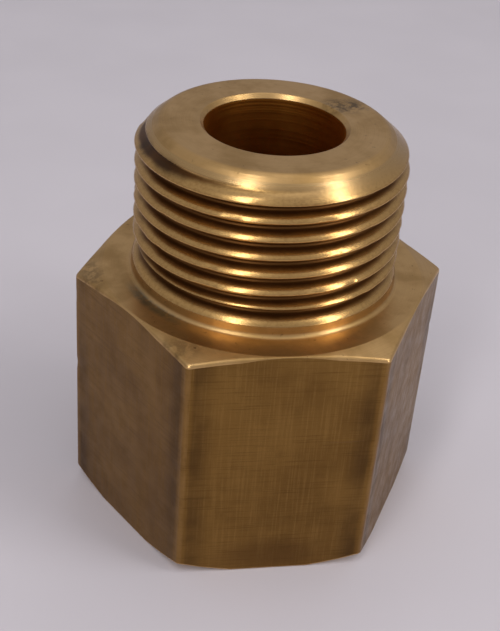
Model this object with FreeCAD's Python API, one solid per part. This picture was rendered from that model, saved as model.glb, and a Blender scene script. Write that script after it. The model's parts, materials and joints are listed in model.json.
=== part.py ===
import FreeCAD, Part
import math
import os

# Brass hexagon adapter for water pipes: a female pipe thread in the hexagon, a male pipe thread above it and
# a round bore through both. Millimetres, +Z up. The origin is the centre of the face that the hexagon stands
# on, and the fitting's axis is Z. Two opposite flats face +Y and -Y.

# Hexagon
ACROSS_FLATS = 41.0
HEX_HEIGHT = 33.0
HEX_EDGE_RADIUS = 0.7
SHOULDER_CHAMFER_INSET = 0.2
SHOULDER_CHAMFER_ANGLE = 15.0
FOOT_CHAMFER_OUTSET = 0.35
FOOT_CHAMFER_ANGLE = 30.0

# Pipe thread with the 55 degree rounded form, the same size at both ends
THREAD_DIAMETER = 33.249
PITCH = 2.309
FLANK_ANGLE = 27.5

# Male end
MALE_LENGTH = 19.6
SHOULDER_FILLET = 1.3
FILLET_SHARE_OF_SHOULDER = 0.6
RUNOUT_HEIGHT = 2.75
RUNOUT_ANGLE = -22.0
RUNOUT_EXTRA_DEPTH = 0.1
TIP_CHAMFER_WIDTH = 2.9
TIP_CHAMFER_HEIGHT = 2.4

# Bore through the fitting
BORE_DIAMETER = 17.0
BORE_CHAMFER = 0.5

# Female end
SOCKET_DEPTH = 22.0
MOUTH_OVERSIZE = 0.4
RELIEF_WIDTH = 3.4
RELIEF_OVERSIZE = 0.35

# Flat sealing washer, lying on the floor of the socket
WASHER_THICKNESS = 2.0
WASHER_SIDE_CLEARANCE = 0.145
WASHER_BORE_MARGIN = 2.0

# Thread form, from the pitch
SHARP_HEIGHT = PITCH / (2 * math.tan(math.radians(FLANK_ANGLE)))
TRUNCATION = SHARP_HEIGHT / 6
THREAD_DEPTH = SHARP_HEIGHT - 2 * TRUNCATION
SIN_FLANK = math.sin(math.radians(FLANK_ANGLE))
COS_FLANK = math.cos(math.radians(FLANK_ANGLE))
ROOT_RADIUS = TRUNCATION * SIN_FLANK / (1 - SIN_FLANK)
MAJOR_RADIUS = THREAD_DIAMETER / 2
MINOR_RADIUS = MAJOR_RADIUS - THREAD_DEPTH

# How far a groove's section reaches past the crest. Under 1, so that neighbouring turns of the cut stay apart.
OVERCUT_SHARE = 0.6
GROOVE_OVERCUT = OVERCUT_SHARE * TRUNCATION

# Places worked out from the sizes above
FLAT_RADIUS = ACROSS_FLATS / 2
CORNER_RADIUS = ACROSS_FLATS / math.sqrt(3)
OVERALL_HEIGHT = HEX_HEIGHT + MALE_LENGTH
TIP_FACE_RADIUS = MAJOR_RADIUS - TIP_CHAMFER_WIDTH
FILLET_RADIUS = min(SHOULDER_FILLET, FILLET_SHARE_OF_SHOULDER * (FLAT_RADIUS - MAJOR_RADIUS))
SOCKET_THREAD_TOP = SOCKET_DEPTH - RELIEF_WIDTH
BORE_RADIUS = BORE_DIAMETER / 2

ORIGIN = FreeCAD.Vector(0, 0, 0)
UP = FreeCAD.Vector(0, 0, 1)
FLATS = 6
SECTORS = 8
CUT_MARGIN = 1.0


def at(radius, height):
    """A point of a turned profile, in the XZ plane."""
    return FreeCAD.Vector(radius, 0, height)


def outline(points):
    """A closed flat face with straight sides."""
    return Part.Face(Part.makePolygon(points + points[:1]))


def turned(face):
    """A profile turned right round the axis."""
    return face.revolve(ORIGIN, UP, 360)


def turned_in_sectors(face):
    """A profile turned round the axis in equal sectors, so that a crest left on it is a row of short strips."""
    step = 360 / SECTORS
    first = face.revolve(ORIGIN, UP, step)
    others = []
    for number in range(1, SECTORS):
        sector = first.copy()
        sector.rotate(ORIGIN, UP, number * step)
        others.append(sector)
    return first.multiFuse(others)


def groove_wire(root_radius, side):
    """Section of a thread groove with a round root, centred on height 0. Side 1 opens outwards, -1 inwards."""
    centre = root_radius + side * ROOT_RADIUS
    tangent_radius = centre - side * ROOT_RADIUS * SIN_FLANK
    tangent_height = ROOT_RADIUS * COS_FLANK
    open_radius = root_radius + side * (THREAD_DEPTH + GROOVE_OVERCUT)
    reach = abs(open_radius - tangent_radius)
    open_height = tangent_height + reach * math.tan(math.radians(FLANK_ANGLE))
    low_root = at(tangent_radius, -tangent_height)
    high_root = at(tangent_radius, tangent_height)
    low_open = at(open_radius, -open_height)
    high_open = at(open_radius, open_height)
    root = Part.Arc(low_root, at(root_radius, 0), high_root).toShape()
    high_flank = Part.makeLine(high_root, high_open)
    mouth = Part.makeLine(high_open, low_open)
    low_flank = Part.makeLine(low_open, low_root)
    return Part.Wire([root, high_flank, mouth, low_flank])


def helical_groove(root_radius, side, start_height, start_angle, rise):
    """A right-hand thread groove that climbs from its start by the rise."""
    cylindrical = 0.0
    spine = Part.makeLongHelix(PITCH, rise, root_radius, cylindrical)
    sweep = Part.BRepOffsetAPI.MakePipeShell(Part.Wire(spine.Edges))
    sweep.setBiNormalMode(UP)
    sweep.add(groove_wire(root_radius, side))
    sweep.build()
    sweep.makeSolid()
    groove = sweep.shape()
    groove.rotate(ORIGIN, UP, start_angle)
    groove.translate(UP * start_height)
    return groove


def hexagon():
    """The hexagon with rounded upright edges, coned at the shoulder and at the foot."""
    corners = []
    for number in range(FLATS):
        angle = 2 * math.pi * number / FLATS
        corners.append(FreeCAD.Vector(CORNER_RADIUS * math.cos(angle), CORNER_RADIUS * math.sin(angle), 0))
    prism = outline(corners).extrude(UP * HEX_HEIGHT)
    upright = [edge for edge in prism.Edges if edge.BoundBox.ZLength > HEX_HEIGHT / 2]
    prism = prism.makeFillet(HEX_EDGE_RADIUS, upright)
    shoulder_radius = max(FLAT_RADIUS - SHOULDER_CHAMFER_INSET, MAJOR_RADIUS + FILLET_RADIUS)
    foot_radius = FLAT_RADIUS + FOOT_CHAMFER_OUTSET
    rim = CORNER_RADIUS + CUT_MARGIN
    foot_rise = (rim - foot_radius) * math.tan(math.radians(FOOT_CHAMFER_ANGLE))
    shoulder_drop = (rim - shoulder_radius) * math.tan(math.radians(SHOULDER_CHAMFER_ANGLE))
    cone = outline([
        at(0, 0),
        at(foot_radius, 0),
        at(rim, foot_rise),
        at(rim, HEX_HEIGHT - shoulder_drop),
        at(shoulder_radius, HEX_HEIGHT),
        at(0, HEX_HEIGHT),
    ])
    return prism.common(turned(cone))


def male_end():
    """The shank above the shoulder, with its fillet and tip chamfer, before the thread is cut."""
    core = outline([
        at(0, SOCKET_DEPTH),
        at(TIP_FACE_RADIUS, SOCKET_DEPTH),
        at(TIP_FACE_RADIUS, OVERALL_HEIGHT),
        at(0, OVERALL_HEIGHT),
    ])
    fillet_foot = at(MAJOR_RADIUS + FILLET_RADIUS, HEX_HEIGHT)
    fillet_top = at(MAJOR_RADIUS, HEX_HEIGHT + FILLET_RADIUS)
    fillet_inset = FILLET_RADIUS * (1 - math.sqrt(0.5))
    fillet_middle = at(MAJOR_RADIUS + fillet_inset, HEX_HEIGHT + fillet_inset)
    tip_foot = at(MAJOR_RADIUS, OVERALL_HEIGHT - TIP_CHAMFER_HEIGHT)
    tip_top = at(TIP_FACE_RADIUS, OVERALL_HEIGHT)
    inner_foot = at(TIP_FACE_RADIUS, HEX_HEIGHT)
    wall = Part.Wire([
        Part.makeLine(inner_foot, fillet_foot),
        Part.Arc(fillet_foot, fillet_middle, fillet_top).toShape(),
        Part.makeLine(fillet_top, tip_foot),
        Part.makeLine(tip_foot, tip_top),
        Part.makeLine(tip_top, inner_foot),
    ])
    return turned(core).fuse(turned_in_sectors(Part.Face(wall)))


def male_thread():
    """The groove cut for the male thread, and the ring where the cutter stops above the shoulder."""
    ring_height = HEX_HEIGHT + RUNOUT_HEIGHT
    ring = turned(Part.Face(groove_wire(MINOR_RADIUS - RUNOUT_EXTRA_DEPTH, 1)))
    ring.translate(UP * ring_height)
    rise = MALE_LENGTH - RUNOUT_HEIGHT + PITCH
    return [ring, helical_groove(MINOR_RADIUS, 1, ring_height, RUNOUT_ANGLE, rise)]


def passage():
    """The bore through the fitting, with its chamfer at the tip."""
    return turned(outline([
        at(0, -CUT_MARGIN),
        at(BORE_RADIUS, -CUT_MARGIN),
        at(BORE_RADIUS, OVERALL_HEIGHT - BORE_CHAMFER),
        at(BORE_RADIUS + BORE_CHAMFER + CUT_MARGIN, OVERALL_HEIGHT + CUT_MARGIN),
        at(0, OVERALL_HEIGHT + CUT_MARGIN),
    ]))


def socket():
    """The room in the female end: its mouth, the wall that the thread is cut in, and the relief at its floor."""
    mouth_radius = MAJOR_RADIUS + MOUTH_OVERSIZE
    mouth_height = mouth_radius - MINOR_RADIUS
    wall = turned_in_sectors(outline([
        at(0, -CUT_MARGIN),
        at(mouth_radius + CUT_MARGIN, -CUT_MARGIN),
        at(mouth_radius, 0),
        at(MINOR_RADIUS, mouth_height),
        at(MINOR_RADIUS, SOCKET_THREAD_TOP + CUT_MARGIN),
        at(0, SOCKET_THREAD_TOP + CUT_MARGIN),
    ]))
    relief_radius = MAJOR_RADIUS + RELIEF_OVERSIZE
    relief = turned(outline([
        at(0, SOCKET_THREAD_TOP),
        at(relief_radius, SOCKET_THREAD_TOP),
        at(relief_radius, SOCKET_DEPTH),
        at(0, SOCKET_DEPTH),
    ]))
    return [wall, relief]


def female_thread():
    """The groove cut for the female thread, from below the mouth into the relief."""
    start_height = -PITCH
    rise = SOCKET_THREAD_TOP + RELIEF_WIDTH / 2 - start_height
    return helical_groove(MAJOR_RADIUS, -1, start_height, 0, rise)


def hex_body():
    """The fitting's one brass piece."""
    body = hexagon().fuse(male_end())
    for room in socket() + [passage()]:
        body = body.cut(room)
    for groove in male_thread() + [female_thread()]:
        body = body.cut(groove)
    return body


def socket_washer():
    """The flat washer that seals the pipe screwed into the female end."""
    outer_radius = MINOR_RADIUS - WASHER_SIDE_CLEARANCE
    inner_radius = BORE_RADIUS + WASHER_BORE_MARGIN
    return turned(outline([
        at(inner_radius, SOCKET_DEPTH - WASHER_THICKNESS),
        at(outer_radius, SOCKET_DEPTH - WASHER_THICKNESS),
        at(outer_radius, SOCKET_DEPTH),
        at(inner_radius, SOCKET_DEPTH),
    ]))


PIECES = {"hex_body": hex_body, "socket_washer": socket_washer}

os.makedirs("parts", exist_ok=True)
for name, make in PIECES.items():
    solids = make().Solids
    piece = solids[0] if len(solids) == 1 else Part.makeCompound(solids)
    piece.exportStep("parts/" + name + ".step")
    print(name, len(solids), "solid", round(piece.Volume, 1), "mm3", "valid" if piece.isValid() else "INVALID")
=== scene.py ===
"""Looks of the hexagon pipe adapter: worn brass with a real rounded pipe thread, and a rubber washer."""

import json
import math

import bmesh
import bpy
import numpy as np
from mathutils import Matrix, Vector, noise


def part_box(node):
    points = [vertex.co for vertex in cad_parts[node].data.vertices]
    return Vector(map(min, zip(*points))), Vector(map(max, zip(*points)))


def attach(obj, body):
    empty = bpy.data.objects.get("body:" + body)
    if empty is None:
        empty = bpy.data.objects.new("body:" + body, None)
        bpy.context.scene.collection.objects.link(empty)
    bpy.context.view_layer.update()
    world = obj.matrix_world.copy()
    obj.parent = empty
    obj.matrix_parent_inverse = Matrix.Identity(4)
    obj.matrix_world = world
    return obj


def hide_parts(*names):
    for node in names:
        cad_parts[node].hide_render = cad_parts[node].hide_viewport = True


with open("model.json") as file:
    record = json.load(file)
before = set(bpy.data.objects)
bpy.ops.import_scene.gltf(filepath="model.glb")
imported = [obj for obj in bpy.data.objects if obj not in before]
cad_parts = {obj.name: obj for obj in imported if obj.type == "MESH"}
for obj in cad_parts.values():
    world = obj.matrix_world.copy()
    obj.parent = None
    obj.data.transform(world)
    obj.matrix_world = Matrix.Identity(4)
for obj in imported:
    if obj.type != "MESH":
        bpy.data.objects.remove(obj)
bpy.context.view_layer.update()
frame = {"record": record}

MM = 0.001
MOUNTS = {mount["name"]: mount for mount in frame["record"]["mounts"]}
BODY_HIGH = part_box("hex_body")[1] / MM
WASHER_LOW, WASHER_HIGH = (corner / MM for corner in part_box("socket_washer"))

# Sizes that the frame states, in millimetres
FLAT_RADIUS = BODY_HIGH.y
TOP = BODY_HIGH.z
SHOULDER = MOUNTS["shoulder"]["pos_m"][2] / MM
CREST_RADIUS = MOUNTS["male_thread"]["dims"]["r_mm"]
ROOT_RADIUS = MOUNTS["female_thread"]["dims"]["r_mm"]
BORE_RADIUS = MOUNTS["through_bore"]["dims"]["r_mm"]
SOCKET_FLOOR = WASHER_HIGH.z

# Sizes of the brass piece that the frame doesn't state, in millimetres
EDGE_RADIUS = 0.7
SHOULDER_CHAMFER_RADIUS = FLAT_RADIUS - 0.2
SHOULDER_CHAMFER_SLOPE = math.tan(math.radians(15))
FOOT_CHAMFER_RADIUS = FLAT_RADIUS + 0.35
FOOT_CHAMFER_SLOPE = math.tan(math.radians(30))
LEAST_CHAMFER = 0.25
PITCH = 2.309
FLANK = math.radians(27.5)
FORM_RADIUS = 0.317
FILLET_RADIUS = 1.3
RING_HEIGHT = SHOULDER + 2.75
RING_EXTRA_DEPTH = 0.1
RUN_OUT_ANGLE = math.radians(-22)
TIP_FACE_RADIUS = CREST_RADIUS - 2.9
TIP_CHAMFER_HEIGHT = 2.4
BORE_CHAMFER = 0.5
MOUTH_RADIUS = CREST_RADIUS + 0.4
RELIEF_RADIUS = CREST_RADIUS + 0.35
SOCKET_THREAD_TOP = SOCKET_FLOOR - 3.4
THREAD_LOW = RING_HEIGHT - 1.3
THREAD_HIGH = TOP - 0.7
WASHER_BORE_RADIUS = BORE_RADIUS + 2
WASHER_LINE = 0.06

# Rounding of the corners, in millimetres: from the mouth up to the shank, from the tip in to the socket,
# and from the washer's underside round its rim to its bore
OUTER_ROUNDINGS = (0.15, 0.3, 0.55, 0.6, FILLET_RADIUS)
INNER_ROUNDINGS = (1.4, 0.2, 0.2, 0.15, 0.3, 0.1)
WASHER_ROUNDINGS = (0.25, 0.05, 0.02, 0.05, 0.25, 0.25, 0.25)
SHANK_ROUNDING = 0.45
RING_ROUNDING = 0.2
CREST_ROUNDING = 0.75
CREST_ROUNDING_LOST_AT_TIP = 0.57
MOUTH_ROUNDING = 0.3
SOCKET_CREST_ROUNDING = 0.25

# Measures of how deep a point lies in the thread
DEPTH_LOST_ON_CONE = 0.65
CREST_TOLERANCE = 0.05

# Wear, in millimetres
KNOCK_SIZE = 2.4
KNOCK_THRESHOLDS = (0.15, 0.6)
CREST_KNOCK_DEPTH = 0.12
EDGE_KNOCK_DEPTH = 0.08
UNEVEN_SIZE = 8
UNEVEN_DEPTH = 0.012

# How finely the pieces are meshed
ROUNDING_STEPS = 5
FLATS = 6
STEPS_ON_FLAT = 34
STEPS_ON_EDGE = 8
ROWS_PER_TURN_OUTSIDE = 18
ROWS_PER_TURN_INSIDE = 8
ROWS_ON_FLAT = 40
WASHER_COLUMNS = 96
WASHER_ROUNDING_STEPS = 4

# Camera, as angles round the object, in degrees, and lengths in millimetres
CAMERA_AZIMUTH = -11.15
CAMERA_ELEVATION = 32.8
CAMERA_ROLL = 4.76
CAMERA_DISTANCE = 158.3
CAMERA_TARGET = Vector((-0.95, 0.81, 24.8))
LENS = 68.7


# ---------------------------------------------------------------- shapes of the brass piece

def smooth_min(a, b, width):
    """The smaller of two values, with the corner between them rounded over the width."""
    share = np.clip(0.5 + 0.5 * (b - a) / width, 0, 1)
    return b * (1 - share) + a * share - width * share * (1 - share)


def smooth_max(a, b, width):
    """The larger of two values, with the corner between them rounded over the width."""
    return -smooth_min(-a, -b, width)


def smooth_step(low, high, value):
    """0 below low, 1 above high, and a smooth change between."""
    share = np.clip((value - low) / (high - low), 0, 1)
    return share * share * (3 - 2 * share)


def wave_noise(points, size, seed):
    """Smooth noise from -1 to 1 at points in millimetres, with lumps of about the size."""
    shift = Vector((seed * 17.3, seed * 5.1, seed * 9.7))
    flat = points.reshape(-1, 3)
    values = [noise.noise(Vector(point) / size + shift) for point in flat]
    return np.array(values).reshape(points.shape[:-1])


def column_angles():
    """Angles of the mesh's columns: even steps along each flat and short ones round each upright edge."""
    tangent = math.atan((FLAT_RADIUS - EDGE_RADIUS) * math.tan(math.pi / FLATS) / FLAT_RADIUS)
    on_flat = np.linspace(-tangent, tangent, STEPS_ON_FLAT + 1)
    on_edge = np.linspace(tangent, 2 * math.pi / FLATS - tangent, STEPS_ON_EDGE + 1)[1:-1]
    sector = np.concatenate([on_flat, on_edge])
    first_flat = math.pi / FLATS
    return np.concatenate([sector + first_flat + 2 * math.pi * number / FLATS for number in range(FLATS)])


def hexagon_radius(angle):
    """Distance from the axis to the hexagon's side, with its upright edges rounded."""
    step = 2 * math.pi / FLATS
    from_flat = angle % step - step / 2
    to_side = FLAT_RADIUS / np.cos(from_flat)
    centre = (FLAT_RADIUS - EDGE_RADIUS) / math.cos(step / 2)
    across = centre * np.sin(step / 2 - np.abs(from_flat))
    along = centre * np.cos(step / 2 - np.abs(from_flat))
    to_edge = along + np.sqrt(np.maximum(EDGE_RADIUS ** 2 - across ** 2, 0))
    tangent = math.atan((FLAT_RADIUS - EDGE_RADIUS) * math.tan(step / 2) / FLAT_RADIUS)
    return np.where(np.abs(from_flat) < tangent, to_side, to_edge)


def groove_profile(distance):
    """Height of a thread groove's wall above its root, at an axial distance from the root's centre."""
    tangent = FORM_RADIUS * math.cos(FLANK)
    arc = FORM_RADIUS - np.sqrt(np.maximum(FORM_RADIUS ** 2 - np.minimum(distance, tangent) ** 2, 0))
    return arc + np.maximum(distance - tangent, 0) / math.tan(FLANK)


def male_radius(angle, height):
    """Radius of the male end's outside: shank, tip chamfer, thread and the ring groove where it stops."""
    cone = TIP_FACE_RADIUS + (TOP - height) * (CREST_RADIUS - TIP_FACE_RADIUS) / TIP_CHAMFER_HEIGHT
    shank = smooth_min(np.full_like(height, CREST_RADIUS), cone, SHANK_ROUNDING)
    lead = PITCH * (((angle - RUN_OUT_ANGLE) / (2 * math.pi)) % 1)
    turns = (height - RING_HEIGHT - lead) / PITCH
    distance = np.abs(turns - np.maximum(np.round(turns), 0)) * PITCH
    thread = ROOT_RADIUS + groove_profile(distance)
    ring = ROOT_RADIUS - RING_EXTRA_DEPTH + groove_profile(np.abs(height - RING_HEIGHT))
    at_tip = smooth_step(TOP - TIP_CHAMFER_HEIGHT - 1, TOP - TIP_CHAMFER_HEIGHT, height)
    rounding = CREST_ROUNDING - CREST_ROUNDING_LOST_AT_TIP * at_tip
    return smooth_min(shank, smooth_min(thread, ring, RING_ROUNDING), rounding)


def female_radius(angle, height):
    """Radius of the socket's inside: thread and mouth chamfer."""
    lead = PITCH * angle / (2 * math.pi)
    turns = (height - lead) / PITCH
    distance = np.abs(turns - np.round(turns)) * PITCH
    groove = CREST_RADIUS - groove_profile(distance)
    wall = smooth_max(np.full_like(height, ROOT_RADIUS), MOUTH_RADIUS - height, MOUTH_ROUNDING)
    return smooth_max(wall, groove, SOCKET_CREST_ROUNDING)


def rounded(corners, radii, steps):
    """A section through its corners, each rounded. A corner is a radius and a height for every column."""
    rows = [corners[0]]
    for before, corner, after, radius in zip(corners, corners[1:], corners[2:], radii):
        back, on = before - corner, after - corner
        back_length = np.linalg.norm(back, axis=0)
        on_length = np.linalg.norm(on, axis=0)
        back, on = back / np.maximum(back_length, 1e-9), on / np.maximum(on_length, 1e-9)
        half_turn = (math.pi - np.arccos(np.clip((back * on).sum(0), -1, 1))) / 2
        reach = np.minimum(radius * np.tan(half_turn), 0.45 * np.minimum(back_length, on_length))
        for step in range(steps + 1):
            t = step / steps
            rows.append(corner + back * reach * (1 - t) ** 2 + on * reach * t ** 2)
    rows.append(corners[-1])
    return np.array(rows)


def divided(section, row, parts):
    """The section with more rows between a row and the next."""
    extra = [section[row] + (section[row + 1] - section[row]) * part / parts for part in range(1, parts)]
    return np.concatenate([section[:row + 1], np.array(extra), section[row + 1:]])


class Skin:
    """Grids of points round the axis, welded into one closed mesh."""

    def __init__(self):
        self.points, self.faces, self.finishes, self.marks = [], [], [], []

    def add(self, section, angles, finish, closed=True, marks=None):
        """One grid. The section holds a radius and a height for each row and column."""
        radius, height = section[:, 0], section[:, 1]
        rows, columns = radius.shape
        start = len(self.points)
        turned = np.stack([radius * np.cos(angles), radius * np.sin(angles), height], axis=-1)
        self.points.extend(turned.reshape(-1, 3))
        marks = np.zeros((rows, columns)) if marks is None else marks
        self.marks.extend(marks.reshape(-1))
        for row in range(rows - 1):
            for column in range(columns if closed else columns - 1):
                following = (column + 1) % columns
                low, high = start + row * columns, start + (row + 1) * columns
                self.faces.append((low + column, low + following, high + following, high + column))
                self.finishes.append(finish)

    def helix(self, low, high, shape, angles, rows_per_turn, lead, finish, upward, depth):
        """A threaded stretch whose rows climb with the thread, so that crests and roots run along them."""
        step = PITCH / rows_per_turn
        around = np.append(angles, angles[0] + 2 * math.pi)
        first = math.floor((low - PITCH - lead) / step)
        last = math.ceil((high - lead) / step)
        starts = lead + step * np.arange(first, last + 1)
        climb = PITCH * (around - around[0]) / (2 * math.pi)
        height = np.clip(starts[:, None] + climb[None, :], low, high)
        radius = shape(np.broadcast_to(around, height.shape), height)
        section = np.stack([radius, height], axis=1)
        marks = depth(radius, height)
        if not upward:
            section, marks = section[::-1], marks[::-1]
        self.add(section, around, finish, closed=False, marks=marks)

    def build(self, name, materials, wear=None):
        """The mesh object, with its points moved by the wear and its shading smoothed by face area."""
        points = np.array(self.points)
        if wear is not None:
            points = points + wear(points)
        mesh = bpy.data.meshes.new(name)
        mesh.from_pydata((points * MM).tolist(), [], self.faces)
        mesh.polygons.foreach_set("material_index", self.finishes)
        mesh.polygons.foreach_set("use_smooth", [True] * len(self.faces))
        mark = mesh.attributes.new("depth", "FLOAT", "POINT")
        mark.data.foreach_set("value", self.marks)
        for material in materials:
            mesh.materials.append(material)
        weld(mesh)
        shade_by_area(mesh)
        piece = bpy.data.objects.new(name, mesh)
        bpy.context.scene.collection.objects.link(piece)
        return piece


def weld(mesh):
    """Joins the points where grids meet, which also removes the faces that were clamped to nothing."""
    made = bmesh.new()
    made.from_mesh(mesh)
    bmesh.ops.remove_doubles(made, verts=made.verts, dist=0.002 * MM)
    bmesh.ops.dissolve_degenerate(made, edges=made.edges, dist=0.001 * MM)
    made.to_mesh(mesh)
    made.free()


def shade_by_area(mesh):
    """Smooth shading in which large faces stay flat and the roundings between them take the turn."""
    normals = np.zeros((len(mesh.vertices), 3))
    for polygon in mesh.polygons:
        weighted = np.array(polygon.normal) * polygon.area
        for vertex in polygon.vertices:
            normals[vertex] += weighted
    lengths = np.maximum(np.linalg.norm(normals, axis=1, keepdims=True), 1e-20)
    mesh.normals_split_custom_set_from_vertices((normals / lengths).tolist())


# ---------------------------------------------------------------- the two pieces

TURNED, DRAWN, THREADED, INSIDE = range(4)


def male_depth(radius, height):
    """How deep a point lies in the male thread, from 0 on the crest to 1 at the root."""
    cone = TIP_FACE_RADIUS + (TOP - height) * (CREST_RADIUS - TIP_FACE_RADIUS) / TIP_CHAMFER_HEIGHT
    on_cone = smooth_step(TOP - TIP_CHAMFER_HEIGHT - 0.4, TOP - TIP_CHAMFER_HEIGHT + 0.4, height)
    full = (CREST_RADIUS - ROOT_RADIUS) * (1 - DEPTH_LOST_ON_CONE * on_cone)
    return np.clip((np.minimum(CREST_RADIUS, cone) - radius - CREST_TOLERANCE) / full, 0, 1)


def female_depth(radius, height):
    """How deep a point lies in the female thread, from 0 on the crest to 1 at the root."""
    mouth = np.maximum(ROOT_RADIUS, MOUTH_RADIUS - height)
    return np.clip((radius - mouth) / (CREST_RADIUS - ROOT_RADIUS), 0, 1)


def outer_corners(angles):
    """Corners of the outside from the mouth's rim to the plain shank below the thread."""
    side = hexagon_radius(angles)
    level = np.zeros_like(angles)
    foot = np.minimum(FOOT_CHAMFER_RADIUS, side - LEAST_CHAMFER)
    return [np.stack(corner) for corner in (
        (female_radius(angles, level), level),
        (foot, level),
        (side, (side - foot) * FOOT_CHAMFER_SLOPE),
        (side, SHOULDER - (side - SHOULDER_CHAMFER_RADIUS) * SHOULDER_CHAMFER_SLOPE),
        (level + SHOULDER_CHAMFER_RADIUS, level + SHOULDER),
        (level + CREST_RADIUS, level + SHOULDER),
        (level + CREST_RADIUS, level + THREAD_LOW),
    )]


def inner_corners(angles):
    """Corners of the tip and the inside, from the tip chamfer down to the top of the socket's thread."""
    level = np.zeros_like(angles)
    return [np.stack(corner) for corner in (
        (male_radius(angles, level + THREAD_HIGH), level + THREAD_HIGH),
        (level + TIP_FACE_RADIUS, level + TOP),
        (level + BORE_RADIUS + BORE_CHAMFER, level + TOP),
        (level + BORE_RADIUS, level + TOP - BORE_CHAMFER),
        (level + BORE_RADIUS, level + SOCKET_FLOOR),
        (level + RELIEF_RADIUS, level + SOCKET_FLOOR),
        (level + RELIEF_RADIUS, level + SOCKET_THREAD_TOP),
        (female_radius(angles, level + SOCKET_THREAD_TOP), level + SOCKET_THREAD_TOP),
    )]


def body_wear(points):
    """Knocks on the thread's crests and the hexagon's edges, and a slight unevenness everywhere outside."""
    radius = np.hypot(points[:, 0], points[:, 1])
    outside = smooth_step(BORE_RADIUS + 1, BORE_RADIUS + 3, radius)
    crest = smooth_step(CREST_RADIUS - 0.5, CREST_RADIUS, radius) * (points[:, 2] > RING_HEIGHT)
    edge = smooth_step(FLAT_RADIUS + 1.9, FLAT_RADIUS + 2.8, radius) * (points[:, 2] < SHOULDER)
    knocks = smooth_step(*KNOCK_THRESHOLDS, wave_noise(points, KNOCK_SIZE, 1))
    uneven = wave_noise(points, UNEVEN_SIZE, 2)
    inward = outside * UNEVEN_DEPTH * (1 + uneven)
    inward = inward + knocks * (CREST_KNOCK_DEPTH * crest + EDGE_KNOCK_DEPTH * edge)
    outwards = np.stack([points[:, 0] / radius, points[:, 1] / radius, np.zeros(len(points))], axis=1)
    return -outwards * inward[:, None]


def make_body(materials):
    """The one brass piece of the fitting."""
    angles = column_angles()
    skin = Skin()
    outer = rounded(outer_corners(angles), OUTER_ROUNDINGS, ROUNDING_STEPS)
    # Each rounded corner has one row more than its steps: the flats lie between the second and the third
    side_start = 2 * (ROUNDING_STEPS + 1)
    outer = divided(outer, side_start, ROWS_ON_FLAT)
    side_end = side_start + ROWS_ON_FLAT
    skin.add(outer[:side_start + 1], angles, TURNED)
    skin.add(outer[side_start:side_end + 1], angles, DRAWN)
    skin.add(outer[side_end:], angles, TURNED)
    male_lead = RING_HEIGHT + PITCH * (((angles[0] - RUN_OUT_ANGLE) / (2 * math.pi)) % 1)
    skin.helix(THREAD_LOW, THREAD_HIGH, male_radius, angles, ROWS_PER_TURN_OUTSIDE, male_lead, THREADED,
               True, male_depth)
    inner = rounded(inner_corners(angles), INNER_ROUNDINGS, ROUNDING_STEPS)
    # The tip's turned faces end with the third corner, where the bore starts
    tip_end = 3 * (ROUNDING_STEPS + 1)
    skin.add(inner[:tip_end + 1], angles, TURNED)
    skin.add(inner[tip_end:], angles, INSIDE)
    female_lead = PITCH * angles[0] / (2 * math.pi)
    skin.helix(0, SOCKET_THREAD_TOP, female_radius, angles, ROWS_PER_TURN_INSIDE, female_lead, INSIDE,
               False, female_depth)
    body = skin.build("brass_body", materials, body_wear)
    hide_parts("hex_body")
    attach(body, "fitting")
    return body


def make_washer(material):
    """The flat rubber washer, with its cut edges rounded and a fine moulding line round its rim."""
    angles = np.linspace(0, 2 * math.pi, WASHER_COLUMNS, endpoint=False)
    level = np.zeros_like(angles)
    outer = -WASHER_LOW.x
    inner = WASHER_BORE_RADIUS
    low, high = WASHER_LOW.z, WASHER_HIGH.z
    middle, line = (low + high) / 2, WASHER_LINE
    corners = [np.stack(corner) for corner in (
        (level + (inner + outer) / 2, level + low),
        (level + outer, level + low),
        (level + outer - line, level + middle - line),
        (level + outer, level + middle),
        (level + outer - line, level + middle + line),
        (level + outer, level + high),
        (level + inner, level + high),
        (level + inner, level + low),
        (level + (inner + outer) / 2, level + low),
    )]
    skin = Skin()
    skin.add(rounded(corners, WASHER_ROUNDINGS, WASHER_ROUNDING_STEPS), angles, 0)
    washer = skin.build("rubber_washer", [material])
    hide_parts("socket_washer")
    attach(washer, "washer")
    return washer


# ---------------------------------------------------------------- materials

# Places of the single marks, in millimetres: a centre, a size along each axis and a strength
GRIMY_PLACES = (
    ((-15.8, -2.5, 50.9), (1.6, 4.0, 1.3), 1.0),
    ((-13.5, -7.5, 50.8), (4.0, 6.0, 1.0), 0.6),
    ((9.6, 5.0, 52.6), (4.0, 3.0, 1.5), 0.8),
    ((0.3, 14.6, 52.0), (5.0, 1.5, 1.5), 0.6),
    ((-21.6, -1.3, 32.0), (2.5, 6.0, 2.0), 0.5),
    ((-12.9, -17.6, 32.4), (6.0, 2.5, 1.5), 0.4),
)
# Centre of the greenish-grey crescent on the left of the fillet: verdigris specks over a painted dark
# reflection
VERDIGRIS_AND_REFLECTION = (-15.1, -9.2, SHOULDER)
SCRATCH = (7.6, -FLAT_RADIUS, 20.5)
# Painted contact shade low on the front flat, where the part stands on the floor
FOOT_SHADE = (0, -FLAT_RADIUS, 2.5)

# Bands beside the upright edges, as distances from the axis: where the grime comes, where it goes again
# and where the edge is worn
GRIME_FROM, GRIME_TO, WORN_FROM_TO = (21.9, 22.9), (23.1, 23.35), (23.35, 23.5)

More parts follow.
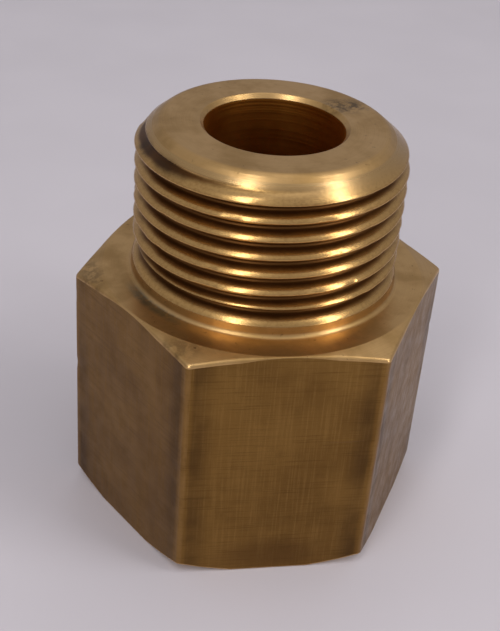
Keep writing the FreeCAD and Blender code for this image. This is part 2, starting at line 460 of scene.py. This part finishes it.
# Colours
DRAWN_LIGHT, DRAWN_DARK = (0.235, 0.126, 0.033), (0.175, 0.09, 0.023)
DRAWN_PATCH, DRAWN_GLINT, DRAWN_RUB = (0.12, 0.058, 0.014), (0.42, 0.24, 0.075), (0.1, 0.048, 0.012)
EDGE_GRIME, EDGE_WORN, FOOT_SHADE_COLOUR = (0.07, 0.035, 0.012), (0.33, 0.19, 0.07), (0.1, 0.045, 0.014)
TURNED_LIGHT, TURNED_DARK = (0.56, 0.35, 0.145), (0.39, 0.235, 0.085)
TURNED_RING, TURNED_SPECK = (0.36, 0.2, 0.08), (0.12, 0.06, 0.025)
GRIME, VERDIGRIS_AND_REFLECTION_COLOUR = (0.035, 0.02, 0.01), (0.17, 0.16, 0.115)
THREAD_LIGHT, THREAD_DARK = (0.56, 0.34, 0.125), (0.46, 0.265, 0.09)
# The male thread's root colour is old grime together with painted shade in the roots
THREAD_ROOT_GRIME_AND_SHADE, THREAD_TIP = (0.09, 0.033, 0.008), (0.5, 0.32, 0.14)
# The socket's root colour is painted shade in its thread roots
INSIDE_LIGHT, INSIDE_DARK, INSIDE_ROOT_SHADE = (0.62, 0.27, 0.045), (0.45, 0.17, 0.02), (0.08, 0.03, 0.01)
RUBBER, RUBBER_DUST = (0.022, 0.022, 0.024), (0.09, 0.085, 0.08)


class Nodes:
    """Short ways to add the nodes of one material. Sizes are in millimetres."""

    def __init__(self, name, metallic, roughness):
        self.material = bpy.data.materials.new(name)
        self.material.use_nodes = True
        self.tree = self.material.node_tree
        self.shader = self.tree.nodes["Principled BSDF"]
        self.shader.inputs["Metallic"].default_value = metallic
        self.shader.inputs["Roughness"].default_value = roughness
        place = self.tree.nodes.new("ShaderNodeTexCoord").outputs["Object"]
        self.place = self.vector("MULTIPLY", place, (1 / MM,) * 3)

    def connect(self, socket, value):
        """A link from another node, or a plain value."""
        if isinstance(value, bpy.types.NodeSocket):
            self.tree.links.new(value, socket)
        else:
            socket.default_value = value

    def vector(self, operation, a, b):
        """A vector worked out from two others."""
        node = self.tree.nodes.new("ShaderNodeVectorMath")
        node.operation = operation
        self.connect(node.inputs[0], a)
        self.connect(node.inputs[1], b)
        return node.outputs["Vector"]

    def number(self, operation, a, b):
        """A number worked out from two others."""
        node = self.tree.nodes.new("ShaderNodeMath")
        node.operation = operation
        self.connect(node.inputs[0], a)
        self.connect(node.inputs[1], b)
        return node.outputs[0]

    def noise(self, size, stretch=(1, 1, 1), detail=3.0, rough=0.55, place=None):
        """Noise from 0 to 1 with lumps of the size, longer along an axis whose stretch is larger."""
        scaled = self.vector("DIVIDE", place or self.place, tuple(size * part for part in stretch))
        node = self.tree.nodes.new("ShaderNodeTexNoise")
        node.inputs["Scale"].default_value = 1.0
        node.inputs["Detail"].default_value = detail
        node.inputs["Roughness"].default_value = rough
        self.connect(node.inputs["Vector"], scaled)
        return node.outputs["Fac"]

    def step(self, value, low, high, start=0.0, end=1.0):
        """A smooth change from start to end as the value goes from low to high."""
        node = self.tree.nodes.new("ShaderNodeMapRange")
        node.interpolation_type = "SMOOTHSTEP"
        for name, number in zip(("From Min", "From Max", "To Min", "To Max"), (low, high, start, end)):
            node.inputs[name].default_value = number
        self.connect(node.inputs["Value"], value)
        return node.outputs["Result"]

    def mix(self, share, a, b):
        """Colour a, turning to colour b with the share."""
        node = self.tree.nodes.new("ShaderNodeMix")
        node.data_type = "RGBA"
        self.connect(node.inputs["Factor"], share)
        self.connect(node.inputs["A"], a if isinstance(a, bpy.types.NodeSocket) else (*a, 1))
        self.connect(node.inputs["B"], b if isinstance(b, bpy.types.NodeSocket) else (*b, 1))
        return node.outputs["Result"]

    def near(self, centre, size):
        """1 at a place, falling to 0 at the size away from it, with the size given along each axis."""
        away = self.vector("DIVIDE", self.vector("SUBTRACT", self.place, centre), size)
        node = self.tree.nodes.new("ShaderNodeVectorMath")
        node.operation = "LENGTH"
        self.connect(node.inputs[0], away)
        return self.step(node.outputs["Value"], 0.3, 1.0, 1.0, 0.0)

    def around_axis(self):
        """A place with the distance from the axis as X and the height as Z, the same all the way round."""
        flat = self.vector("MULTIPLY", self.place, (1, 1, 0))
        length = self.tree.nodes.new("ShaderNodeVectorMath")
        length.operation = "LENGTH"
        self.connect(length.inputs[0], flat)
        split = self.tree.nodes.new("ShaderNodeSeparateXYZ")
        self.connect(split.inputs[0], self.place)
        joined = self.tree.nodes.new("ShaderNodeCombineXYZ")
        self.connect(joined.inputs["X"], length.outputs["Value"])
        self.connect(joined.inputs["Z"], split.outputs["Z"])
        return joined.outputs["Vector"], length.outputs["Value"], split.outputs["Z"]

    def attribute(self, name):
        """A value stored on the mesh's points."""
        node = self.tree.nodes.new("ShaderNodeAttribute")
        node.attribute_name = name
        return node.outputs["Fac"]

    def marked(self, colour, places, mottle, mark):
        """The colour, darkened to the mark near each of the places, and unevenly by the mottle."""
        for place, size, strength in places:
            share = self.number("MULTIPLY", self.near(place, size), mottle)
            share = self.number("MULTIPLY", share, strength)
            colour = self.mix(share, colour, mark)
        return colour

    def finish(self, colour, roughness, relief, strength, height):
        """Joins the colour, the roughness and a bump of the given height to the shader."""
        bump = self.tree.nodes.new("ShaderNodeBump")
        bump.inputs["Strength"].default_value = strength
        bump.inputs["Distance"].default_value = height * MM
        self.connect(bump.inputs["Height"], relief)
        self.connect(self.shader.inputs["Base Color"], colour)
        self.connect(self.shader.inputs["Roughness"], roughness)
        self.connect(self.shader.inputs["Normal"], bump.outputs["Normal"])
        return self.material


def drawn_brass():
    """The hexagon's flats: tarnished olive brown, drawn along the axis and rubbed across it."""
    n = Nodes("brass_drawn", 1.0, 0.4)
    cloud = n.noise(9, detail=4)
    patch = n.noise(2.2, detail=5, rough=0.65)
    upright = n.noise(0.22, (1, 1, 40), detail=4)
    level = n.noise(0.16, (45, 45, 1), detail=4)
    pits = n.noise(0.35, detail=2)
    colour = n.mix(n.step(cloud, 0.35, 0.7), DRAWN_LIGHT, DRAWN_DARK)
    colour = n.mix(n.step(patch, 0.5, 0.8, 0.0, 0.2), colour, DRAWN_PATCH)
    colour = n.mix(n.step(upright, 0.45, 0.7, 0.0, 0.2), colour, DRAWN_GLINT)
    colour = n.mix(n.step(level, 0.5, 0.7, 0.0, 0.42), colour, DRAWN_RUB)
    roughness = n.step(n.number("ADD", patch, upright), 0.7, 1.3, 0.3, 0.52)
    relief = n.number("ADD", n.number("ADD", upright, level), n.step(pits, 0.62, 0.7, 0.0, -0.8))
    radius = n.around_axis()[1]
    beside_edge = n.number("MULTIPLY", n.step(radius, *GRIME_FROM), n.step(radius, *GRIME_TO, 1.0, 0.0))
    beside_edge = n.number("MULTIPLY", beside_edge, n.step(cloud, 0.3, 0.7, 0.2, 0.65))
    colour = n.mix(beside_edge, colour, EDGE_GRIME)
    rubbed = n.number("MULTIPLY", n.step(radius, *WORN_FROM_TO), n.step(patch, 0.35, 0.6, 0.15, 0.5))
    colour = n.mix(rubbed, colour, EDGE_WORN)
    # Painted contact shade: the front flat darker low down, where it stands on the floor
    foot_shade = n.number("MULTIPLY", n.near(FOOT_SHADE, (9, 3, 3.5)), 0.45)
    colour = n.mix(foot_shade, colour, FOOT_SHADE_COLOUR)
    scratch = n.near(SCRATCH, (3.2, 1, 0.35))
    relief = n.number("ADD", relief, n.number("MULTIPLY", scratch, 6.0))
    return n.finish(colour, roughness, relief, 0.35, 0.02)


def turned_brass():
    """Faces cut on the lathe: the shoulder, the chamfers and the tip, satin gold with turning rings."""
    n = Nodes("brass_turned", 1.0, 0.4)
    lathe, radius, _ = n.around_axis()
    rings = n.noise(0.12, detail=3, place=lathe)
    cloud = n.noise(5, detail=4)
    specks = n.noise(0.8, detail=6, rough=0.7)
    colour = n.mix(n.step(cloud, 0.35, 0.7), TURNED_LIGHT, TURNED_DARK)
    colour = n.mix(n.step(rings, 0.5, 0.75, 0.0, 0.3), colour, TURNED_RING)
    colour = n.mix(n.step(specks, 0.62, 0.72, 0.0, 0.75), colour, TURNED_SPECK)
    darkening = n.step(n.noise(1.3, detail=6, rough=0.7), 0.38, 0.6)
    colour = n.marked(colour, GRIMY_PLACES, darkening, GRIME)
    # The greenish-grey crescent on the fillet's left: verdigris specks together with a painted dark
    # reflection
    ring_start = n.step(radius, CREST_RADIUS, CREST_RADIUS + 0.5)
    ring_end = n.step(radius, CREST_RADIUS + 1.1, CREST_RADIUS + 1.9, 0.85, 0.0)
    verdigris_and_reflection = n.number("MULTIPLY", n.near(VERDIGRIS_AND_REFLECTION, (9, 7, 2)), ring_start)
    verdigris_and_reflection = n.number("MULTIPLY", verdigris_and_reflection, ring_end)
    verdigris_and_reflection = n.number("MULTIPLY", verdigris_and_reflection, n.step(specks, 0.3, 0.55, 0.4, 1.0))
    colour = n.mix(verdigris_and_reflection, colour, VERDIGRIS_AND_REFLECTION_COLOUR)
    roughness = n.step(n.number("ADD", cloud, rings), 0.7, 1.3, 0.3, 0.46)
    return n.finish(colour, roughness, n.number("ADD", rings, specks), 0.3, 0.015)


def threaded_brass():
    """The male thread: bright worn crests over roots that are brown with old grime and painted shade."""
    n = Nodes("brass_threaded", 1.0, 0.35)
    depth = n.attribute("depth")
    cloud = n.noise(4, detail=4)
    grain = n.noise(0.3, detail=4)
    lathe, _, height = n.around_axis()
    streaks = n.noise(0.14, place=lathe)
    # Darker the deeper a point lies in the thread: old grime mixed with painted shade in the roots
    darkening = n.number("ADD", depth, n.number("MULTIPLY", n.number("SUBTRACT", cloud, 0.5), 0.5))
    colour = n.mix(n.step(grain, 0.4, 0.7), THREAD_LIGHT, THREAD_DARK)
    colour = n.mix(n.step(darkening, 0.15, 0.8, 0.0, 0.95), colour, THREAD_ROOT_GRIME_AND_SHADE)
    on_crest = n.step(depth, 0.0, 0.3, 1.0, 0.0)
    towards_tip = n.number("MULTIPLY", n.step(height, TOP - 2.6, TOP - 0.7), on_crest)
    colour = n.mix(towards_tip, colour, THREAD_TIP)
    colour = n.marked(colour, GRIMY_PLACES, n.step(cloud, 0.3, 0.6), GRIME)
    roughness = n.step(darkening, 0.2, 0.9, 0.235, 0.42)
    roughness = n.number("ADD", roughness, n.number("MULTIPLY", towards_tip, 0.04))
    return n.finish(colour, roughness, n.number("ADD", grain, streaks), 0.25, 0.015)


def inner_brass():
    """The bore and the socket: darker, with fine rings from the drill and the boring tool, and painted
    shade in the socket's thread roots.
    """
    n = Nodes("brass_inside", 1.0, 0.35)
    depth = n.attribute("depth")
    rings = n.noise(0.25, detail=4, place=n.around_axis()[0])
    cloud = n.noise(6, detail=4)
    colour = n.mix(n.step(cloud, 0.35, 0.7), INSIDE_LIGHT, INSIDE_DARK)
    # Painted shade: the socket's thread is darker the deeper a point lies in it
    colour = n.mix(n.step(depth, 0.3, 1.0, 0.0, 0.8), colour, INSIDE_ROOT_SHADE)
    roughness = n.step(rings, 0.3, 0.7, 0.28, 0.42)
    return n.finish(colour, roughness, rings, 0.4, 0.02)


def washer_rubber():
    """Matt black rubber, dusty in places."""
    n = Nodes("rubber_black", 0.0, 0.7)
    dust = n.noise(3, detail=5, rough=0.65)
    grain = n.noise(0.15, detail=3)
    colour = n.mix(n.step(dust, 0.45, 0.75, 0.0, 0.5), RUBBER, RUBBER_DUST)
    roughness = n.step(dust, 0.4, 0.7, 0.55, 0.8)
    return n.finish(colour, roughness, grain, 0.3, 0.03)


# ---------------------------------------------------------------- floor, light and camera

FLOOR_COLOUR = (0.6, 0.56, 0.595)
FLOOR_CLOUD_SHADE = 0.96
FLOOR_SIZE = 3.0
WORLD_LOW, WORLD_HIGH = (0.36, 0.35, 0.37, 1), (0.48, 0.47, 0.49, 1)

# Lamps: metres, and degrees on the faces that mirror the strips
STRIP_DISTANCE = 0.6
STRIP_WIDTH = 0.07
STREAK_LOW, STREAK_HIGH = 12, 62
LEFT_STREAK_TURN, RIGHT_STREAK_TURN = -8.3, 27
LEFT_RADIANCE, RIGHT_RADIANCE, ABOVE_RADIANCE = 9.2, 10, 0.5
ABOVE_TURN, ABOVE_ELEVATION = 150, 72
ABOVE_DISTANCE = 0.7
ABOVE_SIZE = (0.5, 0.5)


def direction(azimuth, elevation):
    """Unit vector from the object towards a place round it. Azimuth 0 is towards -Y and 90 towards +X."""
    turn, rise = math.radians(azimuth), math.radians(elevation)
    return Vector((math.sin(turn) * math.cos(rise), -math.cos(turn) * math.cos(rise), math.sin(rise)))


def make_floor():
    """A plain pale floor, which can't be seen from below, so that the underside of the part can."""
    mesh = bpy.data.meshes.new("floor")
    half = FLOOR_SIZE / 2
    corners = [(-half, -half, 0), (half, -half, 0), (half, half, 0), (-half, half, 0)]
    mesh.from_pydata(corners, [], [(0, 1, 2, 3)])
    floor = bpy.data.objects.new("floor", mesh)
    bpy.context.scene.collection.objects.link(floor)
    n = Nodes("floor_pale", 0.0, 0.55)
    cloud = n.noise(40, detail=2)
    shade = tuple(FLOOR_CLOUD_SHADE * part for part in FLOOR_COLOUR)
    colour = n.mix(n.step(cloud, 0.3, 0.7), FLOOR_COLOUR, shade)
    mesh.materials.append(n.finish(colour, n.step(cloud, 0.3, 0.7, 0.5, 0.6), cloud, 0.05, 0.02))
    tree = n.tree
    clear = tree.nodes.new("ShaderNodeBsdfTransparent")
    side = tree.nodes.new("ShaderNodeNewGeometry")
    switch = tree.nodes.new("ShaderNodeMixShader")
    tree.links.new(side.outputs["Backfacing"], switch.inputs[0])
    tree.links.new(n.shader.outputs[0], switch.inputs[1])
    tree.links.new(clear.outputs[0], switch.inputs[2])
    tree.links.new(switch.outputs[0], tree.nodes["Material Output"].inputs["Surface"])


def make_world():
    """Pale grey all round, a little darker low down."""
    world = bpy.data.worlds.new("studio")
    world.use_nodes = True
    tree = world.node_tree
    place = tree.nodes.new("ShaderNodeTexCoord")
    split = tree.nodes.new("ShaderNodeSeparateXYZ")
    ramp = tree.nodes.new("ShaderNodeValToRGB")
    tree.links.new(place.outputs["Generated"], split.inputs[0])
    tree.links.new(split.outputs["Z"], ramp.inputs["Fac"])
    tree.links.new(ramp.outputs["Color"], tree.nodes["Background"].inputs["Color"])
    ramp.color_ramp.elements[0].color = WORLD_LOW
    ramp.color_ramp.elements[1].color = WORLD_HIGH
    bpy.context.scene.world = world


def mirrored(turn, rise):
    """Where a lamp stands that the camera sees mirrored by a face turned to its right and raised."""
    towards_camera = direction(CAMERA_AZIMUTH, CAMERA_ELEVATION)
    face = direction(CAMERA_AZIMUTH + turn, rise)
    return 2 * towards_camera.dot(face) * face - towards_camera


def make_lamp(name, towards, along, distance, size, radiance):
    """A rectangular soft lamp that faces the object, with its longer side along a direction. Metres."""
    light = bpy.data.lights.new(name, "AREA")
    light.shape = "RECTANGLE"
    light.size, light.size_y = size
    light.energy = radiance * math.pi * size[0] * size[1]
    lamp = bpy.data.objects.new(name, light)
    back = towards.normalized()
    side = along.cross(back).normalized()
    turned = Matrix((side, back.cross(side), back)).transposed().to_4x4()
    aim = Vector((0, 0, SHOULDER * MM))
    lamp.matrix_world = Matrix.Translation(aim + back * distance) @ turned
    bpy.context.scene.collection.objects.link(lamp)


def make_strip(name, turn, radiance):
    """A long lamp whose mirror image is an upright streak on the thread, from its crests to its flanks."""
    low, high = mirrored(turn, STREAK_LOW), mirrored(turn, STREAK_HIGH)
    along = high - low
    size = (STRIP_WIDTH, along.length * STRIP_DISTANCE)
    make_lamp(name, low + high, along, STRIP_DISTANCE, size, radiance)


def make_camera():
    """The camera, tilted a little so that the part leans to the right."""
    camera = bpy.data.objects.new("camera", bpy.data.cameras.new("camera"))
    camera.data.lens = LENS
    camera.data.clip_start = 0.01
    towards = direction(CAMERA_AZIMUTH, CAMERA_ELEVATION)
    place = Matrix.Translation((CAMERA_TARGET + towards * CAMERA_DISTANCE) * MM)
    aim = towards.to_track_quat("Z", "Y").to_matrix().to_4x4()
    camera.matrix_world = place @ aim @ Matrix.Rotation(math.radians(CAMERA_ROLL), 4, "Z")
    bpy.context.scene.collection.objects.link(camera)
    bpy.context.scene.camera = camera


make_camera()
make_floor()
make_world()
make_strip("lamp_left", LEFT_STREAK_TURN, LEFT_RADIANCE)
make_strip("lamp_right", RIGHT_STREAK_TURN, RIGHT_RADIANCE)
above = direction(CAMERA_AZIMUTH + ABOVE_TURN, ABOVE_ELEVATION)
make_lamp("lamp_above", above, Vector((0, 0, 1)), ABOVE_DISTANCE, ABOVE_SIZE, ABOVE_RADIANCE)
make_body([turned_brass(), drawn_brass(), threaded_brass(), inner_brass()])
make_washer(washer_rubber())

bpy.context.scene.view_settings.view_transform = "Standard"
